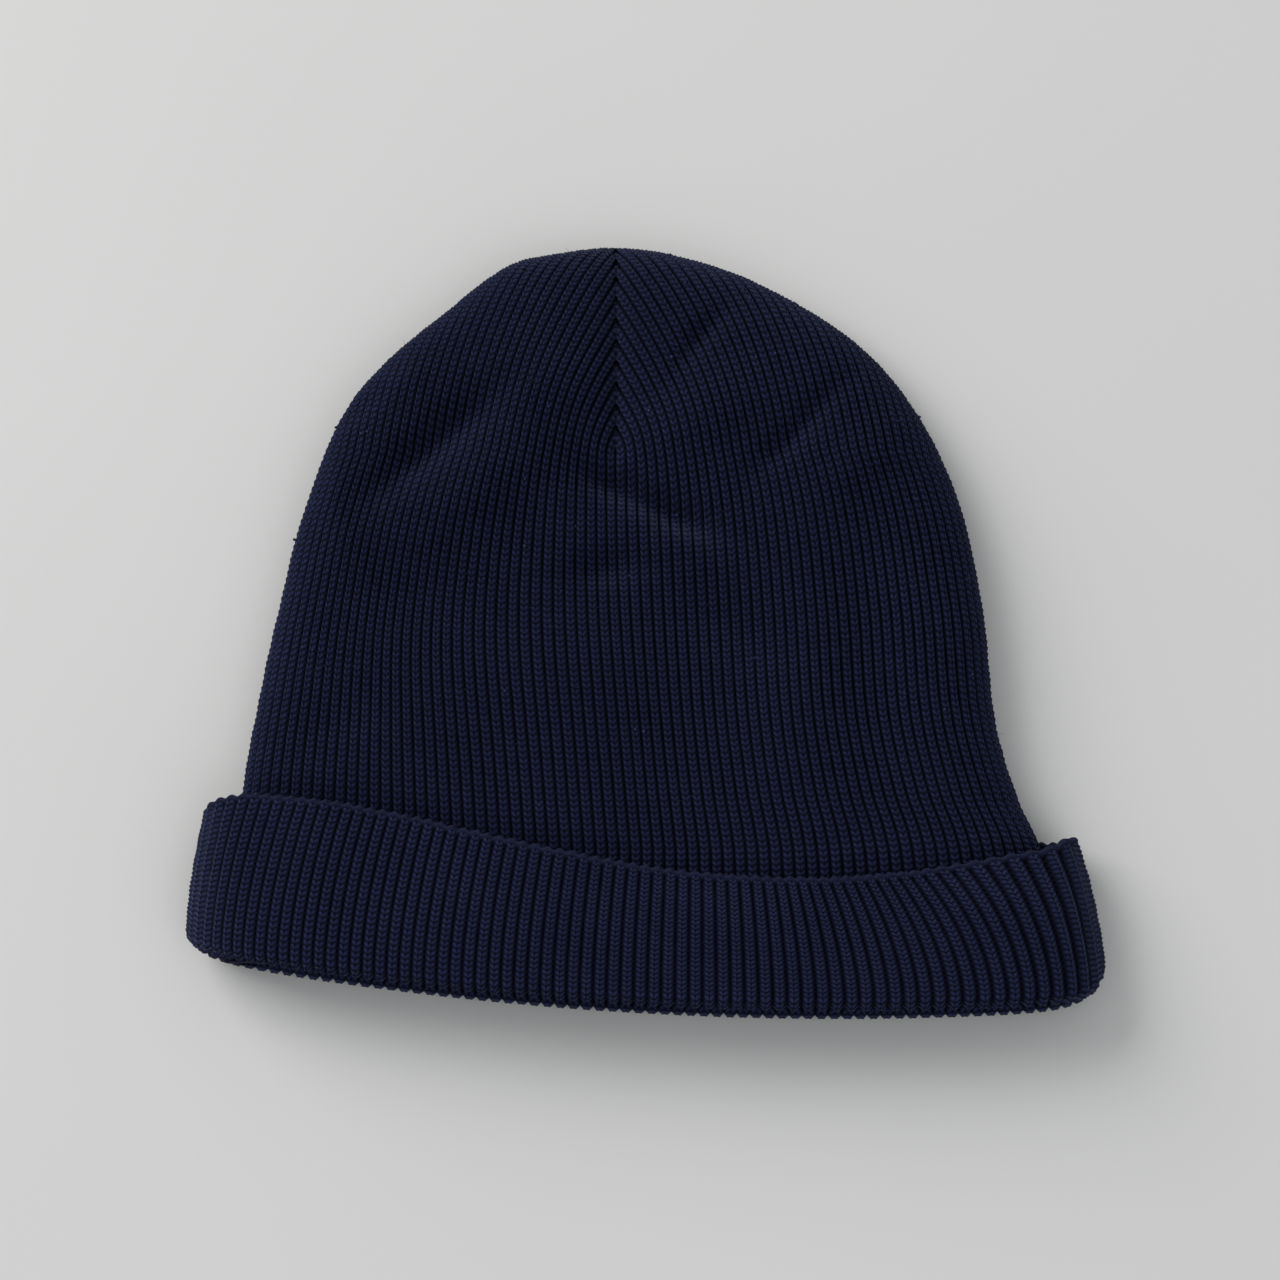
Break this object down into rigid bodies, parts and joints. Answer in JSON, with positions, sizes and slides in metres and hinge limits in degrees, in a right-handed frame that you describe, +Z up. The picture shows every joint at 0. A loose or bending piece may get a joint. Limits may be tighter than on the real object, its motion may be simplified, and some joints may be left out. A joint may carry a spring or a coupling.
{
  "type": "knit beanie",
  "caption": "Rib-knit beanie lying flat, with a darted crown and a turned-up cuff that rolls down.",
  "frame": {"origin": "on the surface that the beanie lies on, under the middle of its bounding box", "axes": "+X across the beanie as it lies, +Y from the fold of the cuff to the crown, +Z up"},
  "size_m": [0.2499, 0.208, 0.024],
  "materials": {
    "rib_knit": "matte rib knit, navy",
    "cuff_rib_knit": "matte rib knit, stretched wider, navy",
    "cast_on_edge": "matte knit edge, navy",
    "seam_allowance": "matte cut and sewn knit edge, navy",
    "overlock_thread": "polyester sewing thread, navy"
  },
  "bodies": {
    "hat": {"body_knit": "rib_knit", "dart_seam_front": "seam_allowance", "dart_seam_back": "seam_allowance", "dart_seam_left": "seam_allowance", "dart_seam_right": "seam_allowance", "dart_thread_front": "overlock_thread", "dart_thread_back": "overlock_thread", "dart_thread_left": "overlock_thread", "dart_thread_right": "overlock_thread", "crown_tack": "overlock_thread"},
    "cuff": {"cuff_knit": "cuff_rib_knit", "cuff_edge": "cast_on_edge"}
  },
  "joints": [
    {"name": "cuff_roll_down", "type": "slide", "parent": "hat", "child": "cuff", "axis": [0, -1, 0], "range_m": [0, 0.027]}
  ]
}
